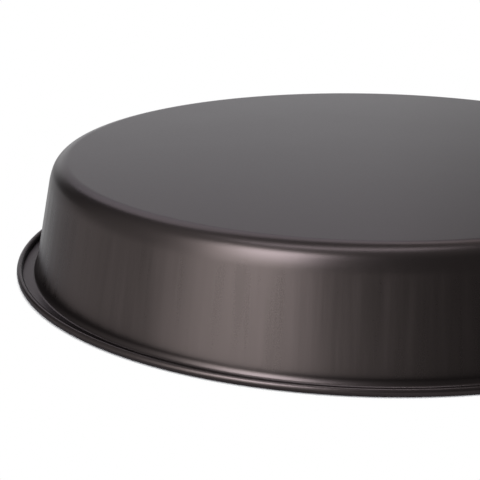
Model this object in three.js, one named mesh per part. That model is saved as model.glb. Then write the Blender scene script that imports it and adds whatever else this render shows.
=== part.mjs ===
// Deep dish pizza pan, turned over to stand on its rim: a shell drawn from one steel sheet,
// whose edge is rolled round a wire hoop that stiffens the mouth.
// Millimetres, +Z up. The origin is on the pan's axis, in the plane that the rim stands on,
// so the mouth faces -Z and the outside of the flat base faces +Z.
import * as THREE from "three";

// Driving dimensions
const RIM_DIAMETER = 322; // over the rolled edge
const HEIGHT = 51.3; // from the plane of the rim to the outside of the base
const SHEET = 0.5; // thickness of the drawn sheet
const WALL_SLOPE = 10.7; // degrees that the wall leans from upright, narrowing to the base
const BASE_CORNER = 8.5; // outside radius between the base and the wall
const CORNER_EASE = 30; // outside radius of the gentler bend from the corner into the wall
const EASE_TURN = 10; // degrees that the gentler bend turns
const MOUTH_FILLET = 2.8; // outside radius between the wall and the flange
const FLANGE_WIDTH = 5.8; // from the rolled edge in to where the wall would meet the flange
const WIRE_DIAMETER = 1.1; // of the hoop in the rolled edge
const WIRE_CLEARANCE = 0.3; // between the wire and the sheet at its two sides
const ROLL_RISE = 0.6; // how much taller than wide the rolled edge is
const WIRE_END_GAP = 1.2; // between the two cut ends of the hoop
const CURL_GAP = 0.3; // between the sheet's cut edge and the flange that it is rolled back to

// Fineness of the round shapes
const TURN_STEPS = 80; // round the pan's axis
const CORNER_STEPS = 6; // across the base corner
const EASE_STEPS = 2; // across the gentler bend
const FILLET_STEPS = 4; // across the mouth fillet
const CURL_STEPS = 10; // round the rolled edge
const WIRE_SIDES = 8; // round the wire's section

// Sizes that follow
const SLOPE = THREE.MathUtils.degToRad(WALL_SLOPE);
const UP = Math.PI / 2;
const EASE_START = SLOPE + THREE.MathUtils.degToRad(EASE_TURN); // where the two bends meet
const HOLLOW_WIDTH = WIRE_DIAMETER + 2 * WIRE_CLEARANCE; // inside the rolled edge
const HOLLOW = new THREE.Vector2(HOLLOW_WIDTH, HOLLOW_WIDTH + ROLL_RISE).divideScalar(2); // half sizes
const ROLL = HOLLOW.clone().addScalar(SHEET); // the same outside the rolled edge
const ROLL_CENTRE = new THREE.Vector2(RIM_DIAMETER / 2 - ROLL.x, ROLL.y);

// Radius of the wall's outside face at a height, as if the wall ran straight down to the flange.
function wallRadius(height) {
  const foot = RIM_DIAMETER / 2 - 2 * ROLL.x - FLANGE_WIDTH;
  return foot - (height - SHEET) * Math.tan(SLOPE);
}

// Distance from the point where two faces would meet to where a rounding between them begins.
// The wall meets the base and the flange at the same angle.
function tangentLength(radius) {
  return radius * Math.tan((UP - SLOPE) / 2);
}

// Points along part of an oval of half sizes, in the order that it is drawn.
function ovalArc(centre, half, from, to, steps) {
  return Array.from({ length: steps + 1 }, (_, i) => {
    const angle = THREE.MathUtils.lerp(from, to, i / steps);
    return new THREE.Vector2(Math.cos(angle), Math.sin(angle)).multiply(half).add(centre);
  });
}

// The same along part of a circle.
function arc(centre, radius, from, to, steps) {
  return ovalArc(centre, new THREE.Vector2(radius, radius), from, to, steps);
}

// Points down the base corner, for the face at a depth in from the outside: the corner itself, and
// the gentler bend that carries it into the wall.
function cornerLine(depth) {
  // The gentler bend sets the corner in from where the wall's line alone would put it.
  const eased = (CORNER_EASE - BASE_CORNER) * (1 - Math.cos(EASE_START - SLOPE)) / Math.cos(SLOPE);
  const corner = new THREE.Vector2(
    wallRadius(HEIGHT) - tangentLength(BASE_CORNER) - eased,
    HEIGHT - BASE_CORNER,
  );
  const ease = new THREE.Vector2(Math.cos(EASE_START), Math.sin(EASE_START))
    .multiplyScalar(BASE_CORNER - CORNER_EASE)
    .add(corner);
  return [
    ...arc(corner, BASE_CORNER - depth, UP, EASE_START, CORNER_STEPS),
    ...arc(ease, CORNER_EASE - depth, EASE_START, SLOPE, EASE_STEPS).slice(1),
  ];
}

// Closed half section of the shell as (radius, height): along the face that holds the food from
// the base's centre to the sheet's cut edge, and back along the outside face.
function shellSection() {
  const fillet = new THREE.Vector2(
    wallRadius(SHEET) + tangentLength(MOUTH_FILLET),
    SHEET + MOUTH_FILLET,
  );
  // The curl stops where the cut edge's lower corner is CURL_GAP above the flange.
  const curlEnd = Math.PI + Math.asin(1 - (SHEET + CURL_GAP) / ROLL.y);

  const foodFace = [
    new THREE.Vector2(0, HEIGHT - SHEET),
    ...cornerLine(SHEET),
    ...arc(fillet, MOUTH_FILLET + SHEET, Math.PI + SLOPE, Math.PI + UP, FILLET_STEPS),
    ...ovalArc(ROLL_CENTRE, ROLL, -UP, curlEnd, CURL_STEPS),
  ];
  const outsideFace = [
    ...ovalArc(ROLL_CENTRE, HOLLOW, curlEnd, -UP, CURL_STEPS),
    ...arc(fillet, MOUTH_FILLET, Math.PI + UP, Math.PI + SLOPE, FILLET_STEPS),
    ...cornerLine(0).reverse(),
    new THREE.Vector2(0, HEIGHT),
  ];
  return [...foodFace, ...outsideFace];
}

// Centre line of the hoop: an open ring whose two ends leave a gap at +Y.
class HoopLine extends THREE.Curve {
  getPoint(t, target = new THREE.Vector3()) {
    const gap = WIRE_END_GAP / ROLL_CENTRE.x;
    const angle = UP + gap / 2 + t * (2 * Math.PI - gap);
    return target.set(
      ROLL_CENTRE.x * Math.cos(angle),
      ROLL_CENTRE.x * Math.sin(angle),
      ROLL_CENTRE.y,
    );
  }
}

// The drawn shell: base, wall, flange and rolled edge in one piece of sheet.
function panShell() {
  const geometry = new THREE.LatheGeometry(shellSection(), TURN_STEPS);
  geometry.rotateX(UP); // the lathe turns about Y
  const coating = new THREE.MeshStandardMaterial({ color: 0x45413f, roughness: 0.4, metalness: 0.3 });
  const mesh = new THREE.Mesh(geometry, coating);
  mesh.name = "pan_shell";
  return mesh;
}

// The hoop of round wire that the rolled edge closes on.
function rimWire() {
  const section = new THREE.Shape().absarc(0, 0, WIRE_DIAMETER / 2, 0, 2 * Math.PI);
  const geometry = new THREE.ExtrudeGeometry(section, {
    extrudePath: new HoopLine(),
    steps: TURN_STEPS,
    curveSegments: WIRE_SIDES / 2, // a full circle is drawn with twice this number
  });
  const steel = new THREE.MeshStandardMaterial({ color: 0xa3a5a8, roughness: 0.45, metalness: 1 });
  const mesh = new THREE.Mesh(geometry, steel);
  mesh.name = "rim_wire";
  return mesh;
}

const pan = new THREE.Group();
pan.add(panShell(), rimWire());

export default pan;
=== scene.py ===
# Deep dish pizza pan standing upside down on its rim: a shell drawn from dark coated sheet steel,
# whose edge is rolled round a wire hoop. Metres, +Z up, with the origin on the pan's axis in the
# plane that the rim stands on.
import math

import bpy
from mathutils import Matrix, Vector


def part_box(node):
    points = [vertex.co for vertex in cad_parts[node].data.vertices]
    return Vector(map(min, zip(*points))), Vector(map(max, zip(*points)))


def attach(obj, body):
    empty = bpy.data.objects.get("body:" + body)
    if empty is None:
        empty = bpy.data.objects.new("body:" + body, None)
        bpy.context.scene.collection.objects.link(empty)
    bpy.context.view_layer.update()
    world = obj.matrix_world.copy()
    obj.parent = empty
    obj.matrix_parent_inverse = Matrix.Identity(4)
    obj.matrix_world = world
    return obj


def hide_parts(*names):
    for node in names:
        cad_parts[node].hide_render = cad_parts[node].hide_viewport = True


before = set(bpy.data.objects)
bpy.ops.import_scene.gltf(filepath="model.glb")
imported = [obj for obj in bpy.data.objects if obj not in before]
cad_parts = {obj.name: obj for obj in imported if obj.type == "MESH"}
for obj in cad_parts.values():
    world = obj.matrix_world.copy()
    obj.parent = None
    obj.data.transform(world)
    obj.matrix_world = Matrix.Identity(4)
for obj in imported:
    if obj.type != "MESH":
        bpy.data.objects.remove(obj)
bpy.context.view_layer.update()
shell_low, shell_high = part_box("pan_shell")
wire_low, wire_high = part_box("rim_wire")

# Angles in common use
QUARTER_TURN = math.pi / 2
FULL_TURN = 2 * math.pi

# Sizes of the pan
RIM_RADIUS = (shell_high.x - shell_low.x) / 2  # over the rolled edge
HEIGHT = shell_high.z  # from the plane of the rim to the outside of the base
SHEET = 0.0005  # thickness of the drawn sheet
WALL_SLOPE = math.radians(10.7)  # that the wall leans from upright
BASE_CORNER = 0.0085  # outside radius between the base and the wall
CORNER_EASE = 0.03  # outside radius of the gentler bend from the corner into the wall
CORNER_TURN = math.radians(10)  # that the gentler bend turns
MOUTH_FILLET = 0.0016  # outside radius between the wall and the flange
MOUTH_EASE = 0.005  # outside radius of the gentler bend from the wall into the fillet
MOUTH_TURN = math.radians(22)  # that this gentler bend turns
FLANGE_WIDTH = 0.0058  # from the rolled edge in to where the wall would meet the flange
WIRE_RADIUS = (wire_high.z - wire_low.z) / 2
WIRE_CLEARANCE = 0.0003  # between the wire and the sheet at its two sides
WIRE_END_GAP = 0.0012  # between the two cut ends of the hoop
CURL_GAP = 0.0003  # between the sheet's cut edge and the flange that it is rolled back to
ROLL_WIDTH = 2 * (WIRE_RADIUS + WIRE_CLEARANCE + SHEET)
ROLL_HEIGHT = wire_low.z + wire_high.z  # the wire lies midway up the rolled edge

# Fineness of the modelled pieces
TURN_STEPS = 288  # round the pan's axis
CORNER_STEPS = 24  # across the base corner
EASE_STEPS = 10  # across each gentler bend
FILLET_STEPS = 14  # across the mouth fillet
ROLL_STEPS = 44  # round the rolled edge
EDGE_LOOP = 0.0006  # from a bend to the nearest points on a straight run
WIRE_SIDES = 20  # round the wire's section
WELD = 0.00001  # points closer than this are merged
SMOOTH_ANGLE = math.radians(35)  # edges sharper than this stay sharp

# Camera, from the pan's outline in the photograph
EYE_DISTANCE = 0.6475  # from the middle of the rim's plane
EYE_ELEVATION = math.radians(18.121)
AIM_LEFT = math.radians(5.407)  # of the pan's axis
AIM_DOWN = math.radians(17.444)
FOCAL_PIXELS = 1370.8
PHOTO_PIXELS = 480
SENSOR_MM = 36.0

# Finish of the coat: a satin grain, soft clouds, and streaks where the wall was drawn
COAT_COLOUR = (0.0545, 0.0448, 0.043)
COAT_METAL = 0.92
COAT_EDGE = (0.495, 0.5, 0.51)  # holds down what the coat mirrors at a low angle
COAT_ROUGHNESS = 0.30
GRAIN_SCALE = 1800.0
GRAIN_ROUGHNESS = 0.06
CLOUD_SCALE = 22.0
CLOUD_TONE = 0.08
CLOUD_ROUGHNESS = 0.03
STREAK_SCALE = 26.0  # per radian round the pan
STREAK_DRAW = 0.35  # how fast the streaks change up the wall
STREAK_TONE = 0.4
STREAK_ROUGHNESS = 0.24
STREAK_DEPTH = 0.00007
STREAK_FOOT = (0.0025, 0.005)  # heights that the streaks fade in between
STREAK_TOP = (HEIGHT - 0.015, HEIGHT - 0.005)  # heights that they fade out between
NOISE_DETAIL = 3.0
NOISE_MIDDLE = 0.5

# Finish of the wire: plain steel with fine lines along it
WIRE_COLOUR = (0.42, 0.42, 0.43)
WIRE_METAL = 1.0
WIRE_ROUGHNESS = 0.32
LINE_SCALE = 9000.0
LINE_ROUGHNESS = 0.2

# Ring of floor under the rim
FLOOR_COLOUR = (0.5, 0.5, 0.5)
FLOOR_INSIDE = 0.157  # radius of the opening in its middle
FLOOR_OUTSIDE = 0.18  # radius of its outer edge
FLOOR_SEEN = (0.1600, 0.1617)  # radii that it fades out between for the eye
FLOOR_MIRRORED = (0.166, 0.178)  # radii that it fades out between in mirrors
FLOOR_DROP = 0.00005  # below the rim

# Tints of the lamps
PLAIN = (1.0, 1.0, 1.0)
WARM = (1.05, 0.97, 1.0)
COOL = (1.0, 1.0, 1.12)

# Softboxes that face the pan: azimuth and elevation in degrees, width, height, brightness, tint
STUDIO_REACH = 5.0  # distance of the softboxes, height of the strips, and unit of their sizes
SOFTBOXES = {
    "key": (-37.4, 24.2, 0.53, 0.80, 4.7, PLAIN),
    "key_core": (-30.6, 29.0, 0.41, 0.47, 8.1, COOL),
    "left_fill": (-58.0, 18.0, 0.25, 0.75, 0.8, PLAIN),
    "back_panel": (-162.5, 41.0, 0.71, 0.64, 2.0, COOL),
    "right_panel": (150.0, 40.0, 0.60, 0.60, 1.2, WARM),
}

# Strips over the pan: X and Y place, length, depth, turn in degrees, brightness, tint
STRIPS = {
    "left_strip": (-0.30, -0.20, 0.42, 0.2, -5.0, 4.5, COOL),
    "right_strip": (0.085, -0.10, 0.44, 0.2, 37.0, 3.7, COOL),
}

# Glows that the coat mirrors: azimuth in degrees, cosine from it where full and where gone, level
SIDE_WALL = (-66.0, 1.0, 0.4, 0.32)
BACKDROP = (-168.0, 0.985, 0.88, 2.1)
RIGHT_WALL = (114.0, 0.82, 0.42, 1.3)
LIT_FLOOR = (-43.0, 0.75, 0.25, 0.68)
KEY_POOL = (-38.0, 0.98, 0.83, 2.2)
BACK_FLOOR = (-132.0, 0.95, 0.76, 0.88)

# The rest of what the coat mirrors, where a rise is the sine of an elevation
WALL_LEVEL = 0.095
FLOOR_LEVEL = 0.2
HORIZON = 0.04  # rise below and above the horizon where the floor turns into the walls
LOW_WALL_TOP = (0.14, 0.41)  # rises that the backdrop and the right wall fade out between
CEILING_LEVEL = 0.19
CEILING_EDGE = (0.6, 0.95)  # rises that the ceiling comes in between


class Value:
    """A node's output that Python's operators work on, each adding a Math node."""

    def __init__(self, graph, socket):
        self.graph = graph
        self.socket = socket

    def math(self, operation, *values):
        inputs = dict(enumerate(values))
        return self.graph.add("ShaderNodeMath", {"operation": operation}, inputs)

    def __add__(self, other):
        return self.math("ADD", self, other)

    def __sub__(self, other):
        return self.math("SUBTRACT", self, other)

    def __rsub__(self, other):
        return self.math("SUBTRACT", other, self)

    def __mul__(self, other):
        return self.math("MULTIPLY", self, other)

    __radd__ = __add__
    __rmul__ = __mul__

    def highest(self, other):
        return self.math("MAXIMUM", self, other)

    def ramp(self, start, end, low=0.0, high=1.0):
        """Goes smoothly from low to high as the value goes from start to end."""
        return self.graph.add(
            "ShaderNodeMapRange",
            {"interpolation_type": "SMOOTHSTEP"},
            {"Value": self, "From Min": start, "From Max": end, "To Min": low, "To Max": high},
        )

    def fade(self, start, end):
        """Goes smoothly from one to nought as the value goes from start to end."""
        return self.ramp(start, end, low=1.0, high=0.0)


class Graph:
    """The node tree of one material or of the world."""

    def __init__(self, owner):
        owner.use_nodes = True
        self.tree = owner.node_tree
        self.tree.nodes.clear()

    def add(self, kind, settings=None, inputs=None, output=0):
        """Adds a node, sets it up, feeds its sockets and returns one of its outputs."""
        node = self.tree.nodes.new(kind)
        for name, value in (settings or {}).items():
            setattr(node, name, value)
        for name, value in (inputs or {}).items():
            self.feed(node.inputs[name], value)
        return Value(self, node.outputs[output]) if len(node.outputs) else None

    def feed(self, socket, value):
        """Links a value to a socket, or sets a plain number, colour or vector on it."""
        if isinstance(value, Value):
            self.tree.links.new(value.socket, socket)
        elif isinstance(value, tuple) and socket.type == "RGBA":
            socket.default_value = (*value, 1.0)
        else:
            socket.default_value = value

    def vector(self, operation, *values, output="Vector"):
        inputs = dict(enumerate(values))
        return self.add("ShaderNodeVectorMath", {"operation": operation}, inputs, output)

    def axis(self, place, name):
        return self.add("ShaderNodeSeparateXYZ", inputs={"Vector": place}, output=name)

    def bearing(self, place):
        """Level direction of a place from the upright axis."""
        return self.vector("NORMALIZE", self.vector("MULTIPLY", place, (1, 1, 0)))

    def noise(self, place, scale):
        """Noise about nought."""
        inputs = {"Vector": place, "Scale": scale, "Detail": NOISE_DETAIL}
        return self.add("ShaderNodeTexNoise", inputs=inputs) - NOISE_MIDDLE


def wire_material():
    """Drawn steel wire, with fine lines that run along the hoop."""
    material = bpy.data.materials.new("drawn_wire_steel")
    graph = Graph(material)
    place = graph.add("ShaderNodeTexCoord", output="Object")
    radius = graph.vector("LENGTH", place, output="Value")
    across = graph.add("ShaderNodeCombineXYZ", inputs={"X": radius, "Z": graph.axis(place, "Z")})
    lines = graph.noise(across, LINE_SCALE)
    surface = graph.add(
        "ShaderNodeBsdfPrincipled",
        inputs={
            "Base Color": WIRE_COLOUR,
            "Metallic": WIRE_METAL,
            "Roughness": lines * LINE_ROUGHNESS + WIRE_ROUGHNESS,
        },
    )
    graph.add("ShaderNodeOutputMaterial", inputs={"Surface": surface})
    return material


def upright_streaks(graph, place):
    """Noise round the pan's axis that hardly changes up the wall, faded out at the wall's ends."""
    drawn = graph.vector("MULTIPLY_ADD", place, (0, 0, STREAK_DRAW), graph.bearing(place))
    height = graph.axis(place, "Z")
    on_wall = height.ramp(*STREAK_FOOT) * height.fade(*STREAK_TOP)
    return graph.noise(drawn, STREAK_SCALE) * on_wall


def coat_material():
    """Dark satin baking coat on drawn sheet."""
    material = bpy.data.materials.new("satin_baking_coat")
    graph = Graph(material)
    place = graph.add("ShaderNodeTexCoord", output="Object")
    grain = graph.noise(place, GRAIN_SCALE)
    cloud = graph.noise(place, CLOUD_SCALE)
    streak = upright_streaks(graph, place)
    tone = 1.0 + cloud * CLOUD_TONE + streak * STREAK_TONE
    uneven = grain * GRAIN_ROUGHNESS + cloud * CLOUD_ROUGHNESS + streak * STREAK_ROUGHNESS
    normal = graph.add("ShaderNodeBump", inputs={"Height": streak, "Distance": STREAK_DEPTH})
    surface = graph.add(
        "ShaderNodeBsdfPrincipled",
        inputs={
            "Base Color": graph.vector("MULTIPLY", COAT_COLOUR, tone),
            "Metallic": COAT_METAL,
            "Specular Tint": COAT_EDGE,
            "Roughness": COAT_ROUGHNESS + uneven,
            "Normal": normal,
        },
    )
    graph.add("ShaderNodeOutputMaterial", inputs={"Surface": surface})
    return material


def floor_material():
    """Matte floor that takes the pan's shadow and fades into the white just outside the rim."""
    material = bpy.data.materials.new("matte_floor")
    graph = Graph(material)
    place = graph.add("ShaderNodeTexCoord", output="Object")
    radius = graph.vector("LENGTH", place, output="Value")
    camera = graph.add("ShaderNodeLightPath", output="Is Camera Ray")
    clearness = (radius.ramp(*FLOOR_SEEN) * camera).highest(radius.ramp(*FLOOR_MIRRORED))
    matte = graph.add("ShaderNodeBsdfDiffuse", inputs={"Color": FLOOR_COLOUR})
    clear = graph.add("ShaderNodeBsdfTransparent")
    surface = graph.add("ShaderNodeMixShader", inputs={"Fac": clearness, 1: matte, 2: clear})
    graph.add("ShaderNodeOutputMaterial", inputs={"Surface": surface})
    return material


class Section:
    """A pen that draws the shell's section in the XZ plane with straight runs and bends."""

    def __init__(self, radius, height, heading):
        self.place = Vector((radius, 0, height))
        self.heading = heading

    def towards(self, turn=0.0):
        """Unit step along the heading, or along a direction turned from it."""
        angle = self.heading + turn
        return Vector((math.cos(angle), 0, math.sin(angle)))

    def step(self, length):
        move = self.towards() * length
        bpy.ops.mesh.extrude_region_move(TRANSFORM_OT_translate={"value": move})
        self.place += move

    def run(self, length):
        """A straight run, with a point close to each end so that the bends shade cleanly."""
        self.step(EDGE_LOOP)
        self.step(length - 2 * EDGE_LOOP)
        self.step(EDGE_LOOP)

    def bend(self, radius, turn, steps):
        """A bend of a radius, to the left where the turn is positive."""
        side = math.copysign(QUARTER_TURN, turn)
        centre = self.place + self.towards(side) * radius
        bpy.ops.mesh.spin(steps=steps, angle=turn, center=centre, axis=(0, 1, 0))
        self.heading += turn
        self.place = centre - self.towards(side) * radius


def start_piece(name, add_primitive, **sizes):
    """Adds a primitive as the start of a piece and goes into edit mode with all of it selected."""
    bpy.ops.object.select_all(action="DESELECT")
    add_primitive(**sizes)
    piece = bpy.context.object
    piece.name = name
    piece.data.name = name
    bpy.ops.object.mode_set(mode="EDIT")
    bpy.ops.mesh.select_all(action="SELECT")
    return piece


def spin_about_axis(angle):
    """Spins what is drawn about the pan's axis and welds what meets."""
    bpy.ops.mesh.spin(steps=TURN_STEPS, angle=angle, center=(0, 0, 0), axis=(0, 0, 1))
    bpy.ops.mesh.select_all(action="SELECT")
    bpy.ops.mesh.remove_doubles(threshold=WELD)
    bpy.ops.mesh.normals_make_consistent(inside=False)
    bpy.ops.object.mode_set(mode="OBJECT")
    bpy.ops.object.transform_apply(location=True, rotation=True, scale=True)


def finish_piece(piece, material, node):
    """Makes a piece stand for a CAD node on the pan's one body."""
    bpy.ops.object.shade_smooth_by_angle(angle=SMOOTH_ANGLE)
    piece.data.materials.append(material)
    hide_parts(node)
    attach(piece, "root")


def draw_food_face():
    """Draws half the section of the face that holds the food, from the axis to the cut edge."""
    lean = QUARTER_TURN - WALL_SLOPE
    foot = RIM_RADIUS - ROLL_WIDTH - FLANGE_WIDTH
    base_edge = foot - (HEIGHT - SHEET) * math.tan(WALL_SLOPE)
    corner_reach = BASE_CORNER * math.tan(lean / 2)
    ease_reach = (CORNER_EASE - BASE_CORNER) * (1 - math.cos(CORNER_TURN)) / math.cos(WALL_SLOPE)
    mouth_bend = math.sin(WALL_SLOPE + MOUTH_TURN)
    ease_rise = (MOUTH_EASE + SHEET) * (mouth_bend - math.sin(WALL_SLOPE))
    fillet_rise = (MOUTH_FILLET + SHEET) * (1 - mouth_bend)
    # The curl stops where the cut edge's lower corner is CURL_GAP above the flange.
    curl = 3 * QUARTER_TURN + math.asin(1 - (SHEET + CURL_GAP) / (ROLL_HEIGHT / 2))

    pen = Section(0, HEIGHT - SHEET, 0)
    pen.run(base_edge - corner_reach - ease_reach)
    pen.bend(BASE_CORNER - SHEET, CORNER_TURN - lean, CORNER_STEPS)
    pen.bend(CORNER_EASE - SHEET, -CORNER_TURN, EASE_STEPS)
    pen.run((pen.place.z - ease_rise - fillet_rise) / math.cos(WALL_SLOPE))
    pen.bend(MOUTH_EASE + SHEET, MOUTH_TURN, EASE_STEPS)
    pen.bend(MOUTH_FILLET + SHEET, lean - MOUTH_TURN, FILLET_STEPS)
    pen.run(RIM_RADIUS - ROLL_WIDTH / 2 - pen.place.x)
    pen.bend(ROLL_WIDTH / 2, curl, ROLL_STEPS)


def stretch_curl(section):
    """Stretches the round curl at the end of the section to an upright oval."""
    bpy.ops.object.mode_set(mode="OBJECT")
    for point in section.data.vertices:
        point.select = point.co.x > RIM_RADIUS - ROLL_WIDTH - WELD
    bpy.ops.object.mode_set(mode="EDIT")
    bpy.ops.transform.resize(value=(1, 1, ROLL_HEIGHT / ROLL_WIDTH), center_override=(0, 0, 0))
    bpy.ops.mesh.select_all(action="SELECT")


def thicken_sheet(shell):
    """Gives the face that holds the food the sheet's thickness, on its outside."""
    thicken = shell.modifiers.new("sheet", "SOLIDIFY")
    thicken.thickness = SHEET
    thicken.offset = -1
    thicken.use_even_offset = True
    bpy.ops.object.modifier_apply(modifier=thicken.name)


def make_shell():
    """The drawn shell: one section that is spun about the pan's axis and thickened."""
    centre = (0, 0, HEIGHT - SHEET)
    shell = start_piece("deep_pan_shell", bpy.ops.mesh.primitive_plane_add, size=SHEET, location=centre)
    bpy.ops.mesh.merge(type="CENTER")
    draw_food_face()
    stretch_curl(shell)
    spin_about_axis(FULL_TURN)
    thicken_sheet(shell)
    finish_piece(shell, coat_material(), "pan_shell")


def make_wire():
    """The hoop of round wire in the rolled edge, open at +Y between its cut ends."""
    ring = RIM_RADIUS - ROLL_WIDTH / 2
    gap = WIRE_END_GAP / ring
    first = QUARTER_TURN - gap / 2
    wire = start_piece(
        "rim_wire_hoop",
        bpy.ops.mesh.primitive_circle_add,
        vertices=WIRE_SIDES,
        radius=WIRE_RADIUS,
        fill_type="NGON",
        location=(ring * math.cos(first), ring * math.sin(first), ROLL_HEIGHT / 2),
        rotation=(QUARTER_TURN, 0, first),
    )
    spin_about_axis(FULL_TURN - gap)
    finish_piece(wire, wire_material(), "rim_wire")


def make_floor():
    """The floor that the rim stands on, open in the middle so that the inside shows from below."""
    floor = start_piece(
        "floor",
        bpy.ops.mesh.primitive_circle_add,
        vertices=TURN_STEPS,
        radius=FLOOR_INSIDE,
        location=(0, 0, -FLOOR_DROP),
    )
    widen = FLOOR_OUTSIDE / FLOOR_INSIDE
    bpy.ops.mesh.extrude_region_move()
    bpy.ops.transform.resize(value=(widen, widen, 1), center_override=(0, 0, -FLOOR_DROP))
    bpy.ops.object.mode_set(mode="OBJECT")
    floor.data.materials.append(floor_material())


def direction(azimuth, elevation=0.0):
    """Direction from the pan, in degrees. Azimuth 0 is to its front, and positive to its right."""
    around = math.radians(azimuth)
    up = math.radians(elevation)
    level = math.cos(up)
    return Vector((math.sin(around) * level, -math.cos(around) * level, math.sin(up)))


def make_world():
    """White for the eye. In mirrors, a lit floor, side walls, a low backdrop and a dim ceiling."""
    world = bpy.data.worlds.new("studio")
    bpy.context.scene.world = world
    graph = Graph(world)
    place = graph.add("ShaderNodeTexCoord", output="Generated")
    rise = graph.axis(place, "Z")
    bearing = graph.bearing(place)

    def glow(azimuth, full, gone, level):
        near = graph.vector("DOT_PRODUCT", bearing, direction(azimuth), output="Value")
        return near.ramp(gone, full, high=level)

    floor = FLOOR_LEVEL + glow(*LIT_FLOOR) + glow(*KEY_POOL) + glow(*BACK_FLOOR)
    low_walls = (glow(*BACKDROP) + glow(*RIGHT_WALL)) * rise.fade(*LOW_WALL_TOP)
    walls = WALL_LEVEL + glow(*SIDE_WALL) + low_walls
    ceiling = rise.ramp(*CEILING_EDGE, high=CEILING_LEVEL)
    studio = floor + rise.ramp(-HORIZON, HORIZON) * (walls - floor) + ceiling
    camera = graph.add("ShaderNodeLightPath", output="Is Camera Ray")
    surface = graph.add(
        "ShaderNodeBackground", inputs={"Color": PLAIN, "Strength": studio.highest(camera)}
    )
    graph.add("ShaderNodeOutputWorld", inputs={"Surface": surface})


def add_softbox(name, place, facing, width, height, brightness, tint):
    """A soft area lamp whose face has an even brightness."""
    lamp = bpy.data.lights.new(name, "AREA")
    lamp.shape = "RECTANGLE"
    lamp.size = width * STUDIO_REACH
    lamp.size_y = height * STUDIO_REACH
    lamp.energy = brightness * math.pi * lamp.size * lamp.size_y
    lamp.color = tint
    softbox = bpy.data.objects.new(name, lamp)
    bpy.context.scene.collection.objects.link(softbox)
    softbox.location = place
    softbox.rotation_euler = facing


def make_lights():
    """The softboxes, turned to face the pan, and the strips, which face straight down."""
    for name, (azimuth, elevation, *face) in SOFTBOXES.items():
        place = direction(azimuth, elevation) * STUDIO_REACH
        at_pan = place.to_track_quat("Z", "Y").to_euler()
        add_softbox(name, place, at_pan, *face)
    for name, (x, y, length, depth, turn, *light) in STRIPS.items():
        place = Vector((x, y, 1)) * STUDIO_REACH
        add_softbox(name, place, (0, 0, math.radians(turn)), length, depth, *light)


def make_camera():
    """A camera at the photograph's viewing angle."""
    lens = bpy.data.cameras.new("photo_view")
    lens.sensor_width = SENSOR_MM
    lens.lens = FOCAL_PIXELS / PHOTO_PIXELS * SENSOR_MM
    camera = bpy.data.objects.new("photo_view", lens)
    bpy.context.scene.collection.objects.link(camera)
    camera.location = (
        0,
        -EYE_DISTANCE * math.cos(EYE_ELEVATION),
        EYE_DISTANCE * math.sin(EYE_ELEVATION),
    )
    camera.rotation_euler = (QUARTER_TURN - AIM_DOWN, 0, AIM_LEFT)
    bpy.context.scene.camera = camera


bpy.context.scene.view_settings.view_transform = "Standard"
make_camera()
make_shell()
make_wire()
make_floor()
make_world()
make_lights()
